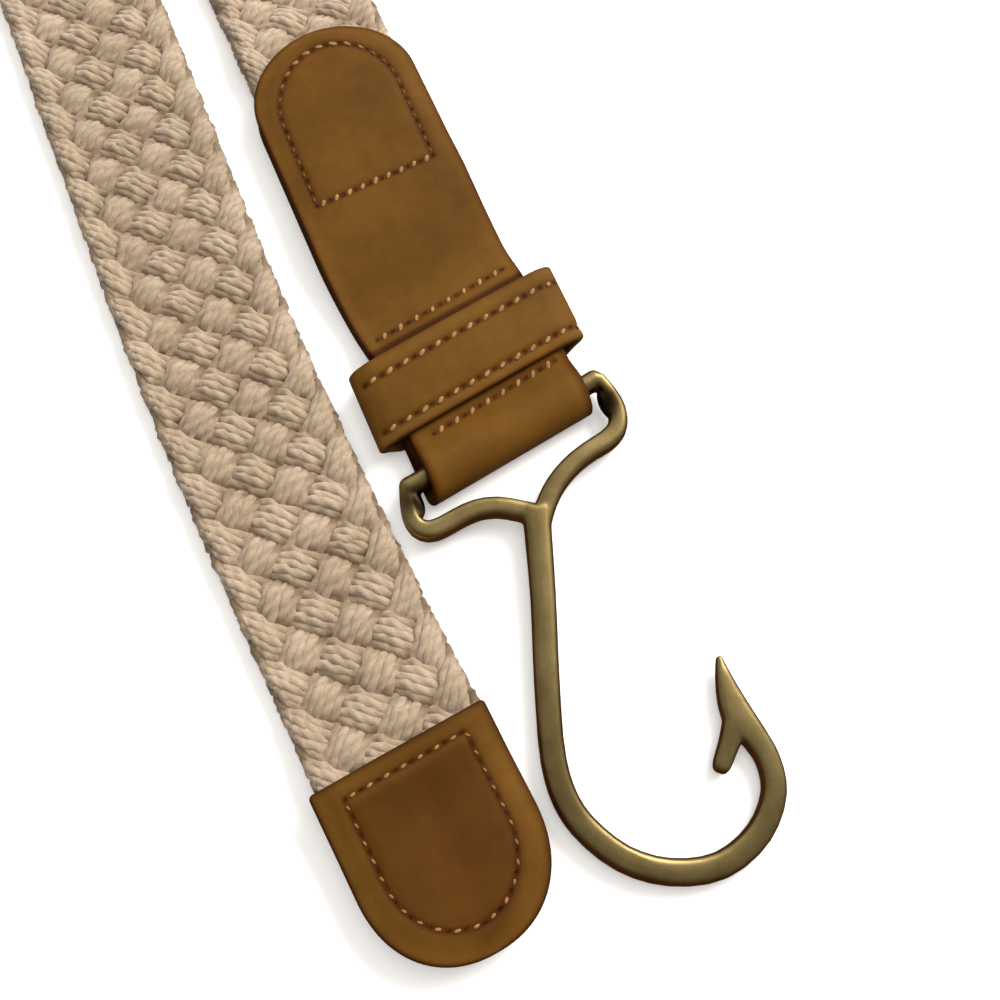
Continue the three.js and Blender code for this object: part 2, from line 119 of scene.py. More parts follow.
# The plait: seven soft strands of five yarns, one over one
STRANDS = 7
YARNS = 5
PLAIT_PERIOD = 59
PLAIT_REACH = 13.25
PLAIT_SHARPNESS = 0.9
PLAIT_SLANT = 49  # degrees between a strand and the band's length
PLAIT_RISE = 1.45
STRAND_DOME = 0.5
SPREAD_ON_TOP = 1.08
SPREAD_UNDER = 0.76
YARN_SPACING = 1.26
YARN_WIDTH = 1.84
YARN_HEIGHT = 1.62
YARN_STEP = 1.4
YARN_SIDES = 8
STRAND_SLACK = 0.16
YARN_DRIFT = 0.13
YARN_LIFT = 0.1
GIRTH_CHANGE = 0.07
PLIES = 2
PLY_PITCH = 2.8

# The hook
MELT_SIZE = 0.26  # the cells in which the solid's facets are smoothed away
MELT_LOSS = 0.07  # what the smoothing takes off and gets back
# Lumps in the inner corners by the bar, round which painted shade darkens the brass to nearly black, and how
# far that painted shade reaches
SHADE_FILLETS = [(-17.8, -5.5), (17.9, -1.9)]  # in the inner corners by the bar
SHADE_FILLET_SIZE = (1.2, 2.8, 1.3)
CORNER_SHADE_REACH = 3.1

# The stitching
Seam = namedtuple("Seam", "line pitch slant pale")
ARCH_SLANT = 14  # degrees between a stitch and its seam
BASE_SLANT = -55
ROW_SLANT = -60
KEEPER_SLANT = 34
TIP_PITCH = 2.75
ARCH_PITCH = 2.65
BASE_PITCH = 2.6
ROW_PITCH = 3.15
KEEPER_PITCH = 3.05
TIP_PALE = 0.6  # thread along the belt, from 0, worn to the leather's colour, to 1, as pale as across it
SEAM_GROOVE = 0.22
STITCH_LENGTH = 1.5
STITCH_WIDTH = 0.75
STITCH_HEIGHT = 0.55
STITCH_RISE = 0.06
BACK_STITCH_RISE = -0.08
TIP_STITCH = 0.7  # share of the size of the tab's stitches
FAR_OFF = 5.0  # where no seam changes the leather
SEAM_BATCH = 4000  # places on a leather that are measured from a seam at once


def smooth(x):
    x = np.clip(x, 0, 1)
    return x * x * (3 - 2 * x)


def mix(a, b, share):
    return a + (b - a) * share


def fading(distance, reach):
    """1 at no distance, fading to nothing past the reach."""
    return np.exp(-((distance / reach) ** 2))


def unit(vectors):
    return vectors / np.linalg.norm(vectors, axis=1, keepdims=True)


def linear(code):
    """An sRGB hex colour as the linear colour that a shader takes."""
    channels = [int(code[i : i + 2], 16) / 255 for i in (1, 3, 5)]
    return [c / 12.92 if c <= 0.04045 else ((c + 0.055) / 1.055) ** 2.4 for c in channels] + [1]


# Materials


def add(tree, kind, links=None, values=None, stops=None, **settings):
    """A node with its settings, the values of its sockets, the nodes or sockets that feed it, and the places
    and colours of its ramp."""
    node = tree.nodes.new(kind)
    for key, value in settings.items():
        setattr(node, key, value)
    for key, value in (values or {}).items():
        node.inputs[key].default_value = value
    for key, source in (links or {}).items():
        tree.links.new(source.outputs[0] if hasattr(source, "outputs") else source, node.inputs[key])
    if stops:
        elements = node.color_ramp.elements
        for element, (place, colour) in zip(elements, (stops[0], stops[-1])):
            element.position, element.color = place, colour
        for place, colour in stops[1:-1]:
            elements.new(place).color = colour
    return node


def new_material(name, values):
    material = bpy.data.materials.new(name)
    material.use_nodes = True
    tree = material.node_tree
    tree.nodes.clear()
    shader = add(tree, "ShaderNodeBsdfPrincipled", values=values)
    add(tree, "ShaderNodeOutputMaterial", {"Surface": shader})
    return material, tree, shader


def grain(size):
    """A texture's scale for grains of this size in millimetres. Single fibres, pores and scratches are finer
    in the real thing, and are drawn as coarse as they need to show."""
    return 1 / (size * MM)


def grey(level):
    return [level, level, level, 1]


def cotton_yarn():
    """Soft cotton yarn, loosely spun and never glossy: its plies show as soft slanting ridges, blurred by
    fibres, with painted shade in the grooves between them, and painted shade darkens the creases where a
    strand dives under the next."""
    material, tree, shader = new_material("cotton_yarn", {
        "Roughness": 0.95, "Specular IOR Level": 0.1, "Sheen Weight": 0.25, "Sheen Roughness": 0.6,
        "Subsurface Weight": 0.3, "Subsurface Radius": (1, 0.8, 0.6), "Subsurface Scale": 0.4 * MM})
    place = add(tree, "ShaderNodeTexCoord").outputs["Object"]
    around = add(tree, "ShaderNodeAttribute", attribute_name="around").outputs["Vector"]
    sides = add(tree, "ShaderNodeSeparateXYZ", {0: around})
    angle = add(tree, "ShaderNodeMath", {0: sides, 1: sides.outputs[1]}, operation="ARCTAN2")
    along = add(tree, "ShaderNodeAttribute", attribute_name="along").outputs["Fac"]
    turned = add(tree, "ShaderNodeMath", {0: along}, {1: 2 * math.pi / PLY_PITCH}, operation="MULTIPLY")
    fanned = add(tree, "ShaderNodeMath", {0: angle}, {1: PLIES}, operation="MULTIPLY")
    phase = add(tree, "ShaderNodeMath", {0: fanned, 1: turned}, operation="ADD")
    ridge = add(tree, "ShaderNodeMath", {0: phase}, operation="SINE")
    fibres = add(tree, "ShaderNodeTexNoise", {"Vector": place},
                 {"Scale": grain(0.4167), "Detail": 3, "Roughness": 0.7})
    patches = add(tree, "ShaderNodeTexNoise", {"Vector": place}, {"Scale": grain(8.333), "Detail": 2})
    both = add(tree, "ShaderNodeMath", {0: patches, 1: fibres}, operation="ADD")
    cloudy = add(tree, "ShaderNodeMath", {0: both}, {1: 0.5}, operation="MULTIPLY")
    tone = add(tree, "ShaderNodeValToRGB", {"Fac": cloudy}, stops=[
        (0.36, linear("#97846c")), (0.5, linear("#a4917a")), (0.64, linear("#b09d87"))])
    risen = add(tree, "ShaderNodeMath", {0: ridge}, {1: 0.5, 2: 0.5}, operation="MULTIPLY_ADD")
    # painted shade in the grooves between plies, and a faint painted highlight on their ridges
    groove = add(tree, "ShaderNodeValToRGB", {"Fac": risen}, stops=[
        (0, grey(0.86)), (0.5, grey(1)), (1, grey(1.03))])
    spun = add(tree, "ShaderNodeMix", {6: tone, 7: groove}, {0: 1}, data_type="RGBA", blend_type="MULTIPLY")
    # painted shade: yarns that lie low in the plait, in the creases between strands, are darkened
    lift = add(tree, "ShaderNodeAttribute", attribute_name="lift").outputs["Fac"]
    painted_crease_shade = add(tree, "ShaderNodeValToRGB", {"Fac": lift}, stops=[
        (0, linear("#77654f")), (0.22, linear("#cfc6ba")), (0.5, grey(1))])
    dusk = add(tree, "ShaderNodeMix", {6: spun.outputs[2], 7: painted_crease_shade}, {0: 1}, data_type="RGBA",
               blend_type="MULTIPLY")
    height = add(tree, "ShaderNodeMath", {0: fibres, 2: ridge}, {1: 1.6}, operation="MULTIPLY_ADD")
    bump = add(tree, "ShaderNodeBump", {"Height": height}, {"Strength": 0.5, "Distance": 0.15 * MM})
    tree.links.new(dusk.outputs[2], shader.inputs["Base Color"])
    tree.links.new(bump.outputs[0], shader.inputs["Normal"])
    return material


def tan_leather():
    """Vegetable-tanned leather, smooth and waxy but not shiny: a fine grain, a cloudy colour and darker cut
    edges, with painted shade in the hole between two stitches and in the groove along each seam."""
    material, tree, shader = new_material("tan_leather", {"Specular IOR Level": 0.11})
    place = add(tree, "ShaderNodeTexCoord").outputs["Object"]
    clouds = add(tree, "ShaderNodeTexNoise", {"Vector": place},
                 {"Scale": grain(16.67), "Detail": 4, "Roughness": 0.55})
    mottle = add(tree, "ShaderNodeTexNoise", {"Vector": place},
                 {"Scale": grain(2.381), "Detail": 3, "Roughness": 0.6})
    both = add(tree, "ShaderNodeMath", {0: mottle, 2: clouds}, {1: 0.35}, operation="MULTIPLY_ADD")
    tone = add(tree, "ShaderNodeValToRGB", {"Fac": both}, stops=[
        (0.5, linear("#553710")), (0.68, linear("#5d3d12")), (0.86, linear("#654315"))])
    off_seam = add(tree, "ShaderNodeAttribute", attribute_name="off_seam").outputs["Fac"]
    on_stitch = add(tree, "ShaderNodeAttribute", attribute_name="on_stitch").outputs["Fac"]
    # painted shade in the holes between stitches, which are only pitted by the bump
    gap = add(tree, "ShaderNodeMapRange", {0: on_stitch}, {"From Min": -0.1, "From Max": -0.9})
    near = add(tree, "ShaderNodeMapRange", {0: off_seam},
               {"From Min": 0.15, "From Max": 0.6, "To Min": 1, "To Max": 0})
    hole = add(tree, "ShaderNodeMath", {0: gap, 1: near}, operation="MULTIPLY")
    # painted shade in the groove along each seam
    seam_groove_shade = add(tree, "ShaderNodeMapRange", {0: off_seam},
                 {"From Min": 0.2, "From Max": 1.1, "To Min": 0.14, "To Max": 0})
    # shade: the leather's own tone and darker cut edges, with painted shade in creases, under the fold and on
    # inner faces; above 0.5 it is rubbed lighter
    shade = add(tree, "ShaderNodeAttribute", attribute_name="shade").outputs["Fac"]
    seam_shaded = add(tree, "ShaderNodeMath", {0: shade, 1: seam_groove_shade}, operation="SUBTRACT")
    holed = add(tree, "ShaderNodeMath", {0: hole, 2: seam_shaded}, {1: -0.26}, operation="MULTIPLY_ADD")
    dark = add(tree, "ShaderNodeValToRGB", {"Fac": holed}, stops=[
        (0, linear("#613f21")), (0.25, linear("#bca27c")), (0.5, grey(1))])
    aged = add(tree, "ShaderNodeMix", {6: tone, 7: dark}, {0: 1}, data_type="RGBA", blend_type="MULTIPLY")
    rubbed = add(tree, "ShaderNodeMapRange", {0: shade}, {"From Min": 0.5})
    worn = add(tree, "ShaderNodeMix", {0: rubbed, 6: aged.outputs[2]}, {7: linear("#8f6532")},
               data_type="RGBA")
    pores = add(tree, "ShaderNodeTexVoronoi", {"Vector": place}, {"Scale": grain(0.3846)},
                feature="SMOOTH_F1")
    creases = add(tree, "ShaderNodeTexNoise", {"Vector": place},
                  {"Scale": grain(1.111), "Detail": 5, "Roughness": 0.65})
    height = add(tree, "ShaderNodeMath", {0: pores, 2: creases}, {1: 0.5}, operation="MULTIPLY_ADD")
    pitted = add(tree, "ShaderNodeMath", {0: hole, 2: height}, {1: -2.5}, operation="MULTIPLY_ADD")
    bump = add(tree, "ShaderNodeBump", {"Height": pitted}, {"Strength": 0.45, "Distance": 0.08 * MM})
    polish = add(tree, "ShaderNodeMapRange", {0: creases},
                 {"From Min": 0.3, "From Max": 0.7, "To Min": 0.56, "To Max": 0.7})
    tree.links.new(worn.outputs[2], shader.inputs["Base Color"])
    tree.links.new(bump.outputs[0], shader.inputs["Normal"])
    tree.links.new(polish.outputs[0], shader.inputs["Roughness"])
    return material


def waxed_thread():
    """Waxed linen thread, a dull soft shine, paler than the leather but rubbed to near its colour in the long
    seams."""
    material, tree, shader = new_material("waxed_thread", {"Roughness": 0.7})
    place = add(tree, "ShaderNodeTexCoord").outputs["Object"]
    fleck = add(tree, "ShaderNodeTexNoise", {"Vector": place}, {"Scale": grain(0.6667), "Detail": 2})
    tone = add(tree, "ShaderNodeValToRGB", {"Fac": fleck}, stops=[
        (0.35, linear("#7d5932")), (0.65, linear("#9b754a"))])
    pale = add(tree, "ShaderNodeAttribute", attribute_name="pale").outputs["Fac"]
    faded = add(tree, "ShaderNodeMix", {0: pale, 7: tone}, {6: linear("#5a3a10")}, data_type="RGBA")
    bump = add(tree, "ShaderNodeBump", {"Height": fleck}, {"Strength": 0.4, "Distance": 0.05 * MM})
    tree.links.new(faded.outputs[2], shader.inputs["Base Color"])
    tree.links.new(bump.outputs[0], shader.inputs["Normal"])
    return material


def cast_brass():
    """Cast brass with a satin, handled finish: olive where it has darkened and brighter where it is rubbed,
    with painted shade and reflection, nearly black, in the inner corners by the bar."""
    material, tree, shader = new_material("cast_brass", {"Metallic": 1})
    place = add(tree, "ShaderNodeTexCoord").outputs["Object"]
    clouds = add(tree, "ShaderNodeTexNoise", {"Vector": place},
                 {"Scale": grain(9.091), "Detail": 5, "Roughness": 0.6})
    tone = add(tree, "ShaderNodeValToRGB", {"Fac": clouds}, stops=[
        (0.35, linear("#8f7a4c")), (0.55, linear("#a58f5e")), (0.7, linear("#b5a06c"))])
    # painted shade and reflection, nearly black, in the inner corners by the bar
    corner_shade = add(tree, "ShaderNodeAttribute", attribute_name="corner_shade").outputs["Fac"]
    corner_shaded = add(tree, "ShaderNodeMix", {0: corner_shade, 6: tone}, {7: linear("#22160c")}, data_type="RGBA")
    scratches = add(tree, "ShaderNodeTexNoise", {"Vector": place},
                    {"Scale": grain(0.7143), "Detail": 4, "Roughness": 0.7})
    rough = add(tree, "ShaderNodeMapRange", {0: scratches},
                {"From Min": 0.3, "From Max": 0.7, "To Min": 0.32, "To Max": 0.42})
    bump = add(tree, "ShaderNodeBump", {"Height": scratches}, {"Strength": 0.15, "Distance": 0.04 * MM})
    tree.links.new(corner_shaded.outputs[2], shader.inputs["Base Color"])
    tree.links.new(bump.outputs[0], shader.inputs["Normal"])
    tree.links.new(rough.outputs[0], shader.inputs["Roughness"])
    return material


COTTON = cotton_yarn()
TAN = tan_leather()
THREAD = waxed_thread()
BRASS = cast_brass()

# The route of the belt


def lay_route():
    """Stations a millimetre or so apart, as columns: distance from the tip's end, place and heading."""
    step = 1.0
    rows = []
    at = {"s": 0.0, "x": TIP_ASIDE, "y": -TIP_DROP}

    def walk(length, heading_at):
        steps = max(1, round(length / step))
        for i in range(steps):
            heading = math.radians(heading_at((i + 0.5) / steps))
            rows.append((at["s"], at["x"], at["y"], math.radians(heading_at(i / steps))))
            at["s"] += length / steps
            at["x"] -= math.sin(heading) * length / steps
            at["y"] += math.cos(heading) * length / steps

    walk(LAID_LEAN_LENGTH, lambda share: np.interp(share, LEAN_PLACES, LEAN_DEGREES))
    flare = math.radians(FLARE_ANGLE)
    half_gap = (STRAP_ASIDE - at["x"]) / 2
    top_turn = math.pi + 2 * flare
    flare_length = FLARE_RADIUS * flare
    top_start = (half_gap + FLARE_RADIUS * (1 - math.cos(flare))) / math.cos(flare)
    spare = BELT_LENGTH - LAID_LEAN_LENGTH - at["y"] - 2 * flare_length - top_turn * top_start
    side = spare / (2 + 2 * STRAIGHT_SHARE + top_turn * math.tan(flare))
    top_radius = top_start + side * math.tan(flare)
    straight = STRAIGHT_SHARE * side
    returning = straight + at["y"]
    walk(straight, lambda share: 0)
    walk(flare_length, lambda share: FLARE_ANGLE * share)
    walk(side, lambda share: FLARE_ANGLE)
    walk(top_radius * top_turn, lambda share: FLARE_ANGLE - (180 + 2 * FLARE_ANGLE) * share)
    walk(side, lambda share: -180 - FLARE_ANGLE)
    walk(flare_length, lambda share: -180 - FLARE_ANGLE * (1 - share))
    walk(returning, lambda share: -180)
    rows.append((at["s"], at["x"], at["y"], math.radians(-180)))
    return np.array(rows).T


ROUTE = lay_route()


def outside_leather(s):
    return np.minimum(s - TIP_LENGTH, BELT_LENGTH - TAB_LENGTH - s)


def band_thickness(s):
    released = smooth((outside_leather(s) + SETTLE_INSIDE) / (SETTLE_INSIDE + SETTLE_OUTSIDE))
    return mix(PRESSED_THICKNESS, BAND_THICKNESS, released)


def band_seat(s):
    return SEAT * (1 - smooth(outside_leather(s) / DESCENT))


def band_axes(s):
    """At places along the band: its middle, its right-hand side and its face, as rows of vectors."""
    x, y, heading = (np.interp(s, ROUTE[0], column) for column in ROUTE[1:])
    up = smooth((s - LAID_LEAN_LENGTH) / TWIST_LENGTH)
    over = smooth((s - (BELT_LENGTH - FLAT_FROM_BAR - TWIST_LENGTH)) / TWIST_LENGTH)
    turn = math.pi / 2 * (up + over)
    level = np.zeros_like(s)
    left = np.stack([-np.cos(heading), -np.sin(heading), level], -1)
    upward = np.stack([level, level, level + 1], -1)
    c, d = np.cos(turn)[..., None], np.sin(turn)[..., None]
    lift = BAND_WIDTH / 2 * np.abs(np.sin(turn)) + band_thickness(s) / 2 * np.abs(np.cos(turn))
    middle = np.stack([x, y, band_seat(s) + lift], -1)
    return middle, d * upward - c * left, c * upward + d * left


def to_frame(points):
    """Points in millimetres from under the bar's middle, as points of the frame in metres."""
    return (np.asarray(points) + [BAR[0], BAR[1], 0]) * MM


def rounded_half_width(distance, width, rounding, roundness):
    inward = np.clip(1 - np.asarray(distance, float) / rounding, 0, 1)
    return width / 2 * (1 - inward**roundness) ** (1 / roundness)


# Making pieces


def new_object(name, data):
    thing = bpy.data.objects.new(name, data)
    bpy.context.scene.collection.objects.link(thing)
    return thing


def new_piece(name, points, edges=(), faces=(), material=None):
    mesh = bpy.data.meshes.new(name)
    mesh.from_pydata(to_frame(points).tolist(), edges, faces)
    if material:
        mesh.materials.append(material)
        mesh.polygons.foreach_set("use_smooth", [True] * len(mesh.polygons))
    return new_object(name, mesh)


def keep(mesh, key, values):
    """Keeps a number or a vector for each point of a mesh under a key."""
    kind, field = ("FLOAT_VECTOR", "vector") if values.ndim == 2 else ("FLOAT", "value")
    mesh.attributes.new(key, kind, "POINT").data.foreach_set(field, values.ravel())


def face_outwards(mesh):
    work = bmesh.new()
    work.from_mesh(mesh)
    bmesh.ops.recalc_face_normals(work, faces=work.faces)
    work.to_mesh(mesh)
    work.free()


def baked(piece, tree=None, **inputs):
    """Makes a piece a plain mesh, after its modifiers or a node tree with these named inputs have run."""
    if tree:
        modifier = piece.modifiers.new("nodes", "NODES")
        modifier.node_group = tree
        for socket in tree.interface.items_tree:
            if socket.name in inputs:
                modifier[socket.identifier] = inputs[socket.name]
    depsgraph = bpy.context.evaluated_depsgraph_get()
    mesh = bpy.data.meshes.new_from_object(piece.evaluated_get(depsgraph))
    piece.modifiers.clear()
    old = piece.data
    piece.data = mesh
    bpy.data.meshes.remove(old)


def new_node_tree(name, sizes):
    """A node tree that takes geometry and named sizes and gives geometry, with its input node."""
    tree = bpy.data.node_groups.new(name, "GeometryNodeTree")
    tree.interface.new_socket("Geometry", in_out="INPUT", socket_type="NodeSocketGeometry")
    for size in sizes:
        tree.interface.new_socket(size, in_out="INPUT", socket_type="NodeSocketFloat")
    tree.interface.new_socket("Geometry", in_out="OUTPUT", socket_type="NodeSocketGeometry")
    return tree, add(tree, "NodeGroupInput")


# The plait


def yarn_tree():
    """Sweeps an oval yarn along each line of a mesh, with its flat side to the strand's face."""
    tree, given = new_node_tree("spin_yarns", ["Width", "Height"])
    line = add(tree, "GeometryNodeMeshToCurve", {0: given.outputs["Geometry"]})
    face = add(tree, "GeometryNodeInputNamedAttribute", values={"Name": "face"}, data_type="FLOAT_VECTOR")
    girth = add(tree, "GeometryNodeInputNamedAttribute", values={"Name": "girth"}, data_type="FLOAT")
    turned = add(tree, "GeometryNodeSetCurveNormal", {0: line, "Normal": face}, mode="FREE")
    sized = add(tree, "GeometryNodeSetCurveRadius", {0: turned, "Radius": girth})
    length = add(tree, "GeometryNodeSplineParameter")
    to_mm = add(tree, "ShaderNodeMath", {0: length.outputs["Length"]}, {1: 1 / MM}, operation="MULTIPLY")
    marked = add(tree, "GeometryNodeStoreNamedAttribute", {0: sized, "Value": to_mm}, {"Name": "along"},
                 data_type="FLOAT", domain="POINT")
    circle = add(tree, "GeometryNodeCurvePrimitiveCircle", values={"Resolution": YARN_SIDES, "Radius": 0.5})
    place = add(tree, "GeometryNodeInputPosition")
    ring = add(tree, "GeometryNodeStoreNamedAttribute", {0: circle, "Value": place}, {"Name": "around"},
               data_type="FLOAT_VECTOR", domain="POINT")
    size = {0: given.outputs["Height"], 1: given.outputs["Width"]}
    shape = add(tree, "ShaderNodeCombineXYZ", size, {2: 1})
    oval = add(tree, "GeometryNodeTransform", {0: ring, "Scale": shape})
    swept = add(tree, "GeometryNodeCurveToMesh", {0: marked, 1: oval}, {"Fill Caps": True})
    even = add(tree, "GeometryNodeSetShadeSmooth", {0: swept})
    whole = add(tree, "GeometryNodeRealizeInstances", {0: even})
    dressed = add(tree, "GeometryNodeSetMaterial", {0: whole}, {"Material": COTTON})
    add(tree, "NodeGroupOutput", {0: dressed})
    return tree


def plait_leg(phase):
    """Place on a strand's way round, -3.5 to 10.5: it crosses to the right, turns, crosses back, turns."""
    half = STRANDS / 2
    return np.mod(phase * STRANDS / math.pi + half, 2 * STRANDS) - half


def plait_course(s, offset, strand):
    """Where a yarn runs in the band: u across, w out of the face, and how far its strand has rolled over."""
    shift = offset * YARN_SPACING / math.sin(math.radians(PLAIT_SLANT))
    first = plait_leg(2 * math.pi * ((s - shift) / PLAIT_PERIOD + strand / STRANDS))
    spread = mix(SPREAD_UNDER, SPREAD_ON_TOP, np.sin(math.pi * first) ** 2)
    phase = 2 * math.pi * ((s - shift * spread) / PLAIT_PERIOD + strand / STRANDS)
    u = PLAIT_REACH * np.arcsin(PLAIT_SHARPNESS * np.sin(phase)) / math.asin(PLAIT_SHARPNESS)
    to_edge = np.abs(np.mod(plait_leg(phase), STRANDS) - STRANDS / 2)
    x = plait_leg(phase + math.pi * shift / PLAIT_PERIOD * smooth(to_edge - 0.5))
    half = STRANDS / 2
    turning_left = np.where(x < 0, x + (half + 1), x - (3 * half - 1)) * math.pi / 2
    turning_right = (x - (half - 1)) * math.pi / 2
    legs = [x < 1 - half, x <= half - 1, x < half + 1, x <= 3 * half - 1]
    crossing = np.sin(math.pi * x)
    left, right = np.cos(turning_left), np.cos(turning_right)
    w = np.select(legs, [left, crossing, right, -crossing], left)
    over = turning_left + math.pi
    roll = np.select(legs, [over, 0 * x, turning_right, 0 * x + math.pi], over)
    return u, w, roll


def wander(rng, s, shortest, longest):
    """A smooth, never repeating drift of about one, between two lengths of wave."""
    waves = rng.uniform(1 / longest, 1 / shortest, 8)
    return np.sin(2 * math.pi * waves[:, None] * s + rng.uniform(0, 2 * math.pi, 8)[:, None]).sum(0) / 2


def plait_strand(strand, tree, rng):
    """One strand of the plait: its yarns side by side, from inside the tip to inside the tab."""
    s = np.arange(4.0, BELT_LENGTH - TAB_LENGTH + BAND_IN_TAB - 0.5, YARN_STEP)
    middle, right, face = band_axes(s)
    pressed = band_thickness(s) / BAND_THICKNESS
    room = rounded_half_width(s - BAND_INSET, TIP_WIDTH - 2 * BAND_INSET - 1, TIP_ROUNDING, TIP_ROUNDNESS)
    squeeze = mix(1, np.minimum(1, room / (BAND_WIDTH / 2)), smooth((TIP_LENGTH - 2 - s) / 6))
    slack = STRAND_SLACK * wander(rng, s, 12, 40)
    lines, normals, girths, lifts, edges = [], [], [], [], []
    for yarn in range(YARNS):
        offset = yarn - (YARNS - 1) / 2
        u, w, roll = plait_course(s + slack, offset, strand)
        dome = 1 - STRAND_DOME * (2 * offset / (YARNS - 1)) ** 2
        # how low the yarn lies in the plait, which the material turns into painted shade in the creases
        lifts.append(np.abs(w) * dome)
        u = (u + YARN_DRIFT * wander(rng, s, 5, 15)) * squeeze
        w = (PLAIT_RISE * w * dome + YARN_LIFT * wander(rng, s, 5, 15)) * pressed
        line = middle + right * u[:, None] + face * w[:, None]
        ahead = unit(np.gradient(line, axis=0))
        out = face * np.cos(roll)[:, None] + right * np.sin(roll)[:, None]
        out -= ahead * np.sum(out * ahead, 1, keepdims=True)
        first = len(s) * yarn
        lines.append(line)
        normals.append(unit(out))
        thinned = mix(0.72, 1, smooth((pressed - 0.6) / 0.4))
        girths.append((1 + GIRTH_CHANGE * wander(rng, s, 6, 20)) * thinned)
        edges += [(first + i, first + i + 1) for i in range(len(s) - 1)]
    piece = new_piece(f"plait_strand_{strand + 1}", np.concatenate(lines), edges)
    for key, values in (("face", normals), ("girth", girths), ("lift", lifts)):
        keep(piece.data, key, np.concatenate(values))
    baked(piece, tree, Width=YARN_WIDTH * MM, Height=YARN_HEIGHT * MM)
    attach(piece, "strap")
    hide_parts("braid_band")


def make_plait():
    tree = yarn_tree()
    rng = np.random.default_rng(7)
    for strand in range(STRANDS):
        plait_strand(strand, tree, rng)


# Leather


def seam_line(half, near, far, rounding):
    """A seam round an end as rows of (u, depth), from its left far corner round to its right one."""
    turn = np.linspace(0, math.pi / 2, 24)
    depth = np.append(near + rounding * (1 - np.cos(turn)), far)
    side = np.stack([half * np.append(np.sin(turn), 1), depth], -1)
    return np.concatenate([side[::-1] * [-1, 1], side[1:]])


def set_askew(line, lean, rise):
    """A seam whose round end stands aside by the lean, and whose left far corner is nearer by the rise."""
    share = (line[:, 1] - line[:, 1].min()) / np.ptp(line[:, 1])
    left = (1 - line[:, 0] / line[:, 0].max()) / 2
    return line + np.stack([lean * (1 - share), -rise * share * left], -1)


def evenly(line, step):
    """Points about a step apart on a line of rows, how far along it they are, and its length."""
    lengths = np.append(0, np.cumsum(np.linalg.norm(np.diff(line, axis=0), axis=1)))
    count = max(2, round(lengths[-1] / step))
    places = (np.arange(count) + 0.5) * lengths[-1] / count
    points = np.stack([np.interp(places, lengths, column) for column in line.T], -1)
    return points, places, lengths[-1]


def seam_marks(u, run, seams):
    """For places on a leather: 1 at a stitch of the nearest seam to -1 between two, and how far off it is."""
    nearest = np.full(u.shape, FAR_OFF)
    phase = np.zeros(u.shape)
    for seam in seams:
        points, places, length = evenly(seam.line, 0.25)
        stitches = round(length / seam.pitch)
        for i in range(0, u.size, SEAM_BATCH):
            part = np.stack([u.flat[i : i + SEAM_BATCH], run.flat[i : i + SEAM_BATCH]], -1)
            away = np.linalg.norm(part[:, None] - points[None], axis=2)
            best = away.argmin(1)
            closer = away.min(1) < nearest.flat[i : i + SEAM_BATCH]
            where = np.arange(i, i + len(part))[closer]
            nearest.flat[where] = away.min(1)[closer]
            phase.flat[where] = 2 * math.pi * (places[best[closer]] / length * stitches - 0.5)
    return np.cos(phase), nearest


def slab(name, u, run, place, rise, shade, seams, closed=False, size=1):
    """A leather on a grid of places. The outer face has the rise and the seams, with holes of a size, and the
    inner one is plain."""
    on_stitch, away = seam_marks(u, run, seams)
    groove = SEAM_GROOVE * fading(away, 0.8)
    outer = place(u, run, rise - groove)
    inner = place(u, run, -rise)
    rows, columns = u.shape
    number = np.arange(rows * columns).reshape(rows, columns)
    wrap = np.concatenate([number, number[:1]]) if closed else number

    def quads(grid):
        return np.stack([grid[:-1, :-1], grid[:-1, 1:], grid[1:, 1:], grid[1:, :-1]], -1).reshape(-1, 4)

    below = rows * columns
    sheets = [quads(wrap), quads(wrap)[:, ::-1] + below]
    rims = [wrap[:, 0], wrap[:, -1][::-1]]
    if not closed:
        rims += [wrap[0][::-1], wrap[-1]]
    for rim in rims:
        sheets.append(np.stack([rim[:-1], rim[1:], rim[1:] + below, rim[:-1] + below], -1))
    points = np.concatenate([outer.reshape(-1, 3), inner.reshape(-1, 3)])
    piece = new_piece(name, points, faces=np.concatenate(sheets).tolist(), material=TAN)
    face_outwards(piece.data)
    far = np.full(below, FAR_OFF)
    keep(piece.data, "on_stitch", np.concatenate([on_stitch.ravel(), 0 * far]))
    keep(piece.data, "off_seam", np.concatenate([away.ravel() / size, far]))
    # the inner face is a little darker: painted shade
    keep(piece.data, "shade", np.concatenate([shade.ravel(), shade.ravel() * 0.9]))
    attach(piece, "strap")
    return piece


def depth_in(half_at, u, run):
    """How far in from the cut edge a place on a leather lies, from its half width along the run."""
    slope = (half_at(run + 0.01) - half_at(run - 0.01)) / 0.02
    return np.maximum(0, np.minimum((half_at(run) - np.abs(u)) / np.sqrt(1 + slope**2), 20))


def cut_edge(depth, soft=0.5):
    """Half the thickness of a leather at a depth in from its cut edge, which is rubbed round."""
    inward = np.clip(1 - depth / soft, 0, 1)
    return LEATHER / 2 - soft * (1 - np.sqrt(1 - inward**2)) * 0.9


def strap_grid(run, half):
    """Places across a strap for each run along it, closest together at its edges."""
    columns = 64
    share = np.sin(np.linspace(-1, 1, columns + 1) * math.pi / 2)
    return share[None] * half[:, None], np.repeat(run[:, None], columns + 1, 1)


def rounded_rows(rounding):
    return rounding * (1 - np.cos(np.linspace(0, math.pi / 2, 26)))


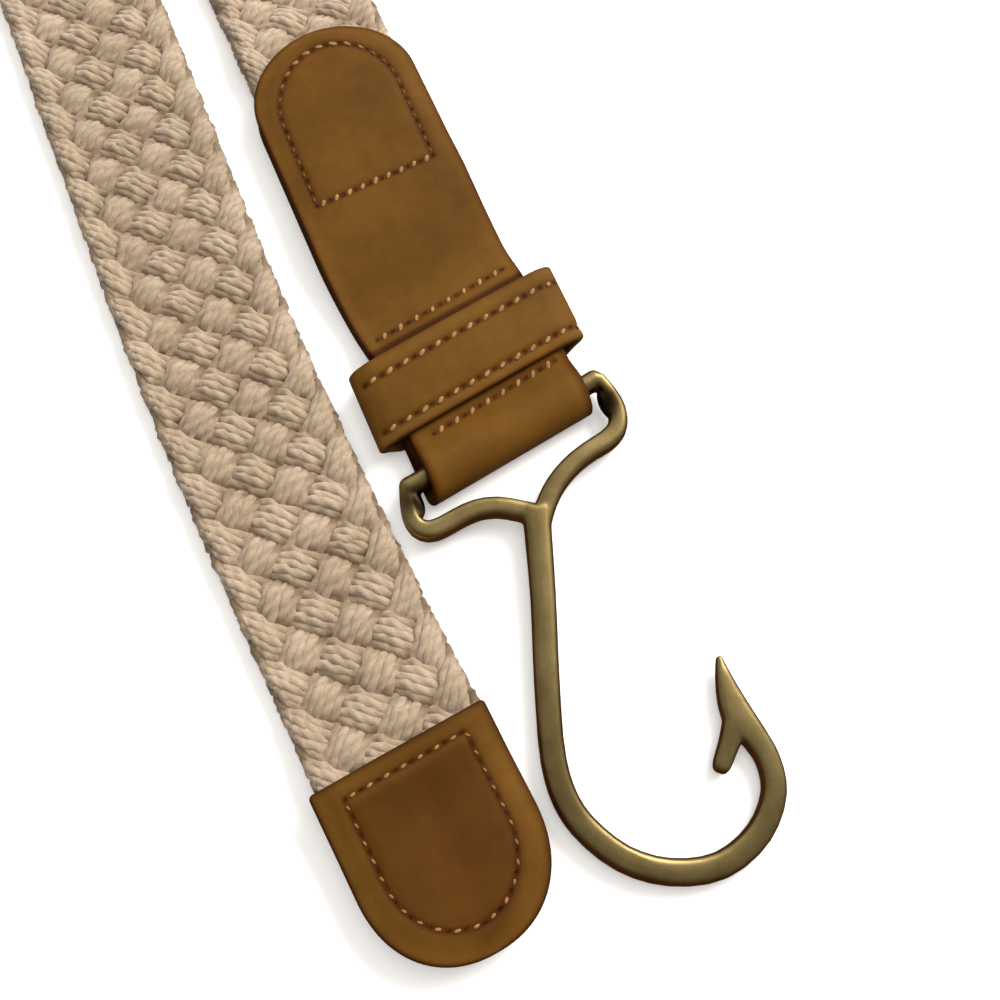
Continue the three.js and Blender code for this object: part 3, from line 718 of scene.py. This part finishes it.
def sew(name, place, rise, seams, size=1):
    """Short lengths of thread, one for each stitch of the seams."""
    points, aheads, faces, pales = [], [], [], []
    for seam in seams:
        marks, _, _ = evenly(seam.line, seam.pitch)
        ways = unit(np.gradient(marks, axis=0))
        c, d = math.cos(math.radians(seam.slant)), math.sin(math.radians(seam.slant))
        turned = np.stack([ways[:, 0] * c - ways[:, 1] * d, ways[:, 0] * d + ways[:, 1] * c], -1)
        height = np.full(len(marks), rise - SEAM_GROOVE)
        here = place(marks[:, 0], marks[:, 1], height)
        ahead = place(marks[:, 0] + turned[:, 0] * 0.1, marks[:, 1] + turned[:, 1] * 0.1, height) - here
        out = place(marks[:, 0], marks[:, 1], height + 0.1) - here
        points.append(here)
        pales.append(mix(seam.pale, 1, smooth(np.abs(ways[:, 0]) * 1.6 - 0.6)))
        aheads.append(unit(ahead))
        faces.append(unit(out))
    piece = new_piece(name, np.concatenate(points))
    for key, values in (("ahead", aheads), ("face", faces), ("pale", pales)):
        keep(piece.data, key, np.concatenate(values))
    sizes = {"Length": STITCH_LENGTH, "Width": STITCH_WIDTH, "Height": STITCH_HEIGHT}
    baked(piece, STITCH_TREE, **{key: value * size * MM for key, value in sizes.items()})
    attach(piece, "strap")


def stitch_tree():
    """Lays one stitch of thread on each point, along its way and flat on its face."""
    tree, given = new_node_tree("lay_stitches", ["Length", "Width", "Height"])
    ahead = add(tree, "GeometryNodeInputNamedAttribute", values={"Name": "ahead"}, data_type="FLOAT_VECTOR")
    face = add(tree, "GeometryNodeInputNamedAttribute", values={"Name": "face"}, data_type="FLOAT_VECTOR")
    turn = add(tree, "FunctionNodeAxesToRotation", {0: face, 1: ahead}, primary_axis="Z", secondary_axis="X")
    bead = add(tree, "GeometryNodeMeshUVSphere", values={"Segments": 12, "Rings": 8, "Radius": 0.5})
    even = add(tree, "GeometryNodeSetShadeSmooth", {0: bead})
    sizes = {i: given.outputs[name] for i, name in enumerate(("Length", "Width", "Height"))}
    size = add(tree, "ShaderNodeCombineXYZ", sizes)
    shaped = add(tree, "GeometryNodeTransform", {0: even, "Scale": size})
    vary = add(tree, "FunctionNodeRandomValue", values={2: 0.88, 3: 1.1, "Seed": 5}, data_type="FLOAT")
    pale = add(tree, "GeometryNodeInputNamedAttribute", values={"Name": "pale"}, data_type="FLOAT")
    sunk = add(tree, "ShaderNodeMath", {0: pale}, {1: 0.35, 2: 0.65}, operation="MULTIPLY_ADD")
    scale = add(tree, "ShaderNodeMath", {0: vary.outputs[1], 1: sunk}, operation="MULTIPLY")
    laid = add(tree, "GeometryNodeInstanceOnPoints",
               {"Points": given, "Instance": shaped, "Rotation": turn, "Scale": scale})
    whole = add(tree, "GeometryNodeRealizeInstances", {0: laid})
    dressed = add(tree, "GeometryNodeSetMaterial", {0: whole}, {"Material": THREAD})
    add(tree, "NodeGroupOutput", {0: dressed})
    return tree


STITCH_TREE = stitch_tree()
TIP_SEAM = seam_line(half=10.1, near=4.5, far=29.3, rounding=11.5)
TAB_SEAM = seam_line(half=11.2, near=3.7, far=TAB_LENGTH - 50.9, rounding=12.5)


def make_tip(front):
    """One leather of the tip, pressed down round its edge where the two are sewn to each other."""
    name = "tip_front" if front else "tip_back"
    corner_rows = TIP_LENGTH - np.array([0.45, 0.3, 0.18, 0.08, 0.02, 0])
    straight_rows = np.linspace(TIP_ROUNDING, TIP_LENGTH - 0.6, 40)[1:]
    run = np.concatenate([rounded_rows(TIP_ROUNDING), straight_rows, corner_rows])
    way = 1 if front else -1

    def half_at(s):
        corner = np.clip((s - TIP_LENGTH + TIP_CORNER) / TIP_CORNER, 0, 1)
        whole = rounded_half_width(s, TIP_WIDTH, TIP_ROUNDING, TIP_ROUNDNESS)
        return whole - TIP_CORNER * (1 - np.sqrt(1 - corner**2))

    def place(u, s, h):
        x, y, heading = (np.interp(s, ROUTE[0], column) for column in ROUTE[1:])
        over = u * np.tan(np.radians(TIP_SKEW * s / TIP_LENGTH))
        aside = u - TIP_OFFSET
        base = LEATHER / 2
        if front:
            base = base + SEAT + band_thickness(s) + GAP
            by_edge = 1 - smooth(depth_in(half_at, u, s) / 5)
            base = base - TIP_PRESSED * by_edge - 0.16 * fading(u - 1.5, 2.6)
        return np.stack([x + np.cos(heading) * aside - np.sin(heading) * over,
                         y + np.sin(heading) * aside + np.cos(heading) * over, base + way * h], -1)

    u, s = strap_grid(run, half_at(run))
    depth = np.minimum(depth_in(half_at, u, s), TIP_LENGTH - s)
    shade = 0.5 - 0.3 * fading(depth, 0.55) + 0.05 * fading(depth - 1.6, 1)
    shade = shade - 0.03 - 0.13 * smooth((depth - 3.2) / 2) - 0.03 * fading(u - 1.5, 3)
    closed = np.concatenate([TIP_SEAM, TIP_SEAM[:1]])
    seams = [Seam(closed, TIP_PITCH, ARCH_SLANT, TIP_PALE)]
    piece = slab(name, u, s, place, cut_edge(depth), shade, seams, size=TIP_STITCH)
    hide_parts(name)
    rise = STITCH_RISE if front else BACK_STITCH_RISE
    sew(name + "_stitches", place, LEATHER / 2 + rise, seams, TIP_STITCH)


FRONT_ROWS = 339


def tab_profile():
    """The tab from the side, from the front's end to the back's: how far along, (v, z) and the way ahead."""
    keeper_start = KEEPER_FROM_BAR - KEEPER_WIDTH / 2
    v = np.linspace(TAB_LENGTH, 0, FRONT_ROWS + 1)
    raised = smooth(v / (keeper_start - GAP)) - smooth((v - KEEPER_END - GAP) / KEEPER_RAMP)
    back = LEATHER / 2 + SEAT * raised
    over_bar = 2 * FOLD_HEIGHT - LEATHER - SEAT
    over_band = smooth((v - TAB_LENGTH + BAND_IN_TAB + BAND_RAMP + 1) / BAND_RAMP)
    filled = (band_thickness(BELT_LENGTH - v) + GAP) * over_band
    front = back + SEAT + over_bar * (1 - smooth(v / FOLD_SEAM)) + filled
    angle = np.linspace(math.pi / 2, 3 * math.pi / 2, 40)
    fold_v = (FOLD_REACH - LEATHER / 2) * np.cos(angle)
    fold_z = FOLD_HEIGHT + (FOLD_HEIGHT - LEATHER / 2) * np.sin(angle)
    line_v = np.concatenate([v[:-1], fold_v, v[::-1][1:]])
    line_z = np.concatenate([front[:-1], fold_z, back[::-1][1:]])
    line = np.stack([line_v, line_z], -1)
    run = np.append(0, np.cumsum(np.linalg.norm(np.diff(line, axis=0), axis=1)))
    return run, line, unit(np.gradient(line, axis=0))


def buckle_end_point(x, v, z):
    """A point of the buckle end, whose rows lie off square as the bar does, but less by the tab's end."""
    share = np.clip((v - KEEPER_END) / (TAB_LENGTH - KEEPER_END), 0, 1)
    return np.stack([x, v + x * np.tan(np.radians(mix(FOLD_SKEW, TAB_END_SKEW, share))), z], -1)


def make_tab():
    """The tab: one strip down the front, round the bar and up the back."""
    runs, line, ahead = tab_profile()
    total = runs[-1]
    ends = rounded_rows(TAB_ROUNDING)
    straight = np.linspace(TAB_ROUNDING, total - TAB_ROUNDING, 300)[1:-1]
    run = np.concatenate([ends, straight, total - ends[::-1]])

    def spread_at(r):
        by_bar = 1 - smooth((np.interp(r, runs, line[:, 0]) - 6) / 12)
        under = FOLD_SPREAD_UNDER * smooth((r - total / 2) / 6 + 0.5)
        return by_bar * (FOLD_SPREAD + under)

    def half_at(r):
        v = np.interp(r, runs, line[:, 0])
        width = mix(FOLD_WIDTH, TAB_WIDTH, smooth(v / FOLD_SWAY)) + spread_at(r)
        return rounded_half_width(np.minimum(r, total - r), width, TAB_ROUNDING, TAB_ROUNDNESS)

    def place(u, r, h):
        v, z, along, up = (np.interp(r, runs, column) for column in (*line.T, *ahead.T))
        in_front = r < total / 2
        by_edge = 1 - smooth(depth_in(half_at, u, r) / 4.5)
        sunk = TAB_PRESSED * by_edge * smooth((v - 46) / 10) * in_front
        middle = mix(FOLD_ASIDE, STRAP_ASIDE, smooth(v / FOLD_SWAY)) - spread_at(r) / 2
        return buckle_end_point(middle + u, v + up * h, z - along * h - sunk)

    u, r = strap_grid(run, half_at(run))
    depth = depth_in(half_at, u, r)
    from_bar = np.interp(r, runs, line[:, 0])
    # cut edges are darker; by the bar the dark strip is wider, painted shade at the fold's sides
    edge = mix(1.0, 0.55, smooth((from_bar - 4) / 10))
    shade = 0.5 - 0.3 * fading(depth, edge) + 0.04 * fading(depth - 1.6, 1)
    # painted shade on the fold's lower layer near the bar
    shade = shade - 0.25 * (1 - smooth((from_bar - 4) / 8)) * smooth((r - total / 2 - 1) / 3)
    handled = smooth((from_bar - 26) / 12) * smooth(depth / 3)
    # painted shade in the crease just beyond the keeper's far edge
    painted_crease_shade = fading(from_bar - KEEPER_END - 1.2, 0.6) * (r < total / 2)
    shade = shade - 0.06 * handled - 0.42 * painted_crease_shade

    def row(v_left, v_right, left, right):
        run_at = np.interp([v_left, v_right], line[:FRONT_ROWS, 0][::-1], runs[:FRONT_ROWS][::-1])
        return np.stack([[left, right], run_at], -1)

    arch = set_askew(TAB_SEAM, 0.6, 0.5) - [0.5, 0]
    seams = [Seam(arch, ARCH_PITCH, ARCH_SLANT, 0), Seam(arch[[0, -1]], BASE_PITCH, BASE_SLANT, 1),
             Seam(row(24.9, 25.6, -12.6, 12.5), ROW_PITCH, ROW_SLANT, 1),
             Seam(row(5.4, 6.1, -11.1, 12.7), ROW_PITCH, ROW_SLANT, 1)]
    piece = slab("buckle_tab", u, r, place, cut_edge(depth), shade, seams)
    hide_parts("buckle_tab")
    sew("buckle_tab_stitches", place, LEATHER / 2 + STITCH_RISE, seams)


def make_keeper():
    """The keeper: a strip of leather round the tab, closed on itself."""
    half_span = (KEEPER_SPAN - LEATHER) / 2 - KEEPER_CORNER
    low = LEATHER / 2
    high = LEATHER / 2 + SEAT + SEAT + LEATHER + KEEPER_PLAY
    rows = []
    for x, z, start in ((half_span, high - KEEPER_CORNER, 0), (-half_span, high - KEEPER_CORNER, 90),
                        (-half_span, low + KEEPER_CORNER, 180), (half_span, low + KEEPER_CORNER, 270)):
        for angle in np.radians(np.linspace(start, start + 90, 14)):
            rows.append((x + KEEPER_CORNER * math.cos(angle), z + KEEPER_CORNER * math.sin(angle),
                         math.cos(angle), math.sin(angle)))
    rows = np.array(rows + rows[:1])
    runs = np.append(0, np.cumsum(np.linalg.norm(np.diff(rows[:, :2], axis=0), axis=1)))
    run = np.linspace(0, runs[-1], 221)[:-1]

    def place(u, r, h):
        x, z, out, up = (np.interp(r, runs, column) for column in rows.T)
        bow = KEEPER_BOW * np.clip(up, 0, 1) * np.cos(np.clip(x / half_span, -1, 1) * math.pi / 2)
        pinched = 1 - KEEPER_PINCH * smooth((np.abs(x) - 15.2) / 3)
        sag = KEEPER_SAG * smooth((-u - 3.6) / 3.4) * np.clip(up, 0, 1)
        z = high + (z + up * h - high) * np.where(z < high, pinched, 1) - sag
        return buckle_end_point(KEEPER_ASIDE + x + out * h, KEEPER_FROM_BAR + u, z + bow)

    u, r = strap_grid(run, np.full(run.shape, KEEPER_WIDTH / 2))
    depth = KEEPER_WIDTH / 2 - np.abs(u)
    shade = 0.5 - 0.1 * fading(depth, 0.4) + 0.04 * fading(depth - 1.3, 0.8)

    def row(u_at, left, right):
        across = np.array([left, right]) - KEEPER_ASIDE
        return np.stack([[u_at, u_at], np.interp(-across, -rows[:28, 0], runs[:28])], -1)

    seams = [Seam(row(u_at, left, right), KEEPER_PITCH, KEEPER_SLANT, 1)
             for u_at, left, right in ((3.75, -18.0, 18.1), (-5.1, -18.0, 18.9))]
    piece = slab("keeper", u, r, place, cut_edge(depth), shade, seams, closed=True)
    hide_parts("keeper")
    sew("keeper_stitches", place, LEATHER / 2 + STITCH_RISE, seams)


# The hook


def make_hook():
    """The solid hook with its facets smoothed away, as on a casting that has been tumbled, and its inner
    corners by the bar filled with lumps, round which the brass is painted nearly black as shade."""
    mesh = frame["nodes"]["hook"].data.copy()
    corners = [to_frame([*fillet, BAR[2]]) for fillet in SHADE_FILLETS]
    work = bmesh.new()
    work.from_mesh(mesh)
    bmesh.ops.remove_doubles(work, verts=work.verts, dist=0.001 * MM)
    for corner in corners:
        turn = Matrix.Translation(Vector(corner)) @ Matrix.Diagonal((*(np.array(SHADE_FILLET_SIZE) * MM), 1))
        bmesh.ops.create_uvsphere(work, u_segments=24, v_segments=16, radius=1, matrix=turn)
    work.to_mesh(mesh)
    work.free()
    mesh.materials.clear()
    mesh.materials.append(BRASS)
    piece = new_object("fish_hook_buckle", mesh)
    melt = piece.modifiers.new("melt", "REMESH")
    melt.mode, melt.voxel_size, melt.use_smooth_shade = "VOXEL", MELT_SIZE * MM, True
    tumble = piece.modifiers.new("tumble", "SMOOTH")
    tumble.factor, tumble.iterations = 0.5, 12
    regain = piece.modifiers.new("regain", "DISPLACE")
    regain.strength, regain.mid_level = MELT_LOSS * MM, 0
    baked(piece)
    points = np.empty(len(piece.data.vertices) * 3)
    piece.data.vertices.foreach_get("co", points)
    # painted shade: nearly black near the lumps in the inner corners by the bar
    offsets = [points.reshape(-1, 3) - corner for corner in corners]
    away = np.min([np.linalg.norm(offset, axis=1) for offset in offsets], axis=0) / MM
    keep(piece.data, "corner_shade", np.exp(-((away / CORNER_SHADE_REACH) ** 4)))
    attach(piece, "hook")
    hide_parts("hook")


make_plait()
make_tip(True)
make_tip(False)
make_tab()
make_keeper()
make_hook()

# Camera, floor and light

SENSOR = 36
LENS = 43.2
EYE = np.array([-36.44, -64.71, 186.86])
FORWARD = Vector((0.16162, 0.28035, -0.94619))
IMAGE_UP = Vector((0.36754, 0.87272, 0.32136))


def make_camera():
    data = bpy.data.cameras.new("camera")
    data.sensor_width = SENSOR
    data.lens = LENS
    data.clip_start, data.clip_end = 0.005, 10
    camera = new_object("camera", data)
    back = -FORWARD.normalized()
    right = IMAGE_UP.cross(back).normalized()
    up = back.cross(right)
    turn = Matrix((right, up, back)).transposed().to_4x4()
    camera.matrix_world = Matrix.Translation(Vector(to_frame(EYE))) @ turn
    bpy.context.scene.camera = camera


def make_floor():
    """A wide sheet of matt, nearly white card, a little luminous so that shadows stay faint on it."""
    reach = 1500
    corners = [(-reach, -reach, 0), (reach, -reach, 0), (reach, reach, 0), (-reach, reach, 0)]
    material, _, _ = new_material("pale_card", {
        "Base Color": linear("#f4f3f1"), "Roughness": 0.9,
        "Emission Color": linear("#ffffff"), "Emission Strength": 0.25})
    floor = new_piece("floor", corners, faces=[(0, 1, 2, 3)], material=material)
    floor.visible_glossy = False


def make_light(name, place, size, watts, colour, in_metal):
    """A soft square light, aimed at the table under the hook's bar, that the brass mirrors or not."""
    data = bpy.data.lights.new(name, "AREA")
    data.size, data.energy, data.color = size * MM, watts, colour
    light = new_object(name, data)
    light.visible_glossy = in_metal
    light.location = to_frame(place)
    aim = Vector(to_frame((0, 0, 0))) - light.location
    light.rotation_mode = "QUATERNION"
    light.rotation_quaternion = aim.to_track_quat("-Z", "Y")


def make_world():
    """A dim room with a bright side, and a brown table below, which the brass mirrors in its lower faces."""
    world = bpy.data.worlds.new("studio")
    world.use_nodes = True
    tree = world.node_tree
    way = add(tree, "ShaderNodeTexCoord").outputs["Generated"]
    towards = add(tree, "ShaderNodeVectorMath", {0: way}, {1: (0.59, 0.81, 0)}, operation="DOT_PRODUCT")
    share = add(tree, "ShaderNodeMath", {0: towards.outputs["Value"]}, {1: 0.5, 2: 0.5},
                operation="MULTIPLY_ADD")
    room = add(tree, "ShaderNodeValToRGB", {"Fac": share}, stops=[
        (0, linear("#4a3b2c")), (0.2, linear("#6a5a4b")), (0.36, grey(0.27)), (0.62, grey(0.35)),
        (0.8, grey(0.7)), (1, grey(1))])
    height = add(tree, "ShaderNodeSeparateXYZ", {0: way})
    low = add(tree, "ShaderNodeMapRange", {0: height.outputs[2]}, {"From Min": 0.25, "From Max": -0.15})
    both = add(tree, "ShaderNodeMix", {0: low, 6: room}, {7: linear("#5a3a22")}, data_type="RGBA")
    tree.links.new(both.outputs[2], tree.nodes["Background"].inputs["Color"])
    bpy.context.scene.world = world


make_camera()
make_floor()
make_light("key", (460, 110, 500), size=330, watts=3.6, colour=(1, 0.97, 0.92), in_metal=False)
make_light("window", (430, 260, 420), size=300, watts=2.5, colour=(1, 0.97, 0.92), in_metal=True)
make_light("overhead", (-60, -40, 900), size=900, watts=4.8, colour=(1, 0.98, 0.95), in_metal=False)
make_world()
bpy.context.scene.view_settings.view_transform = "Standard"
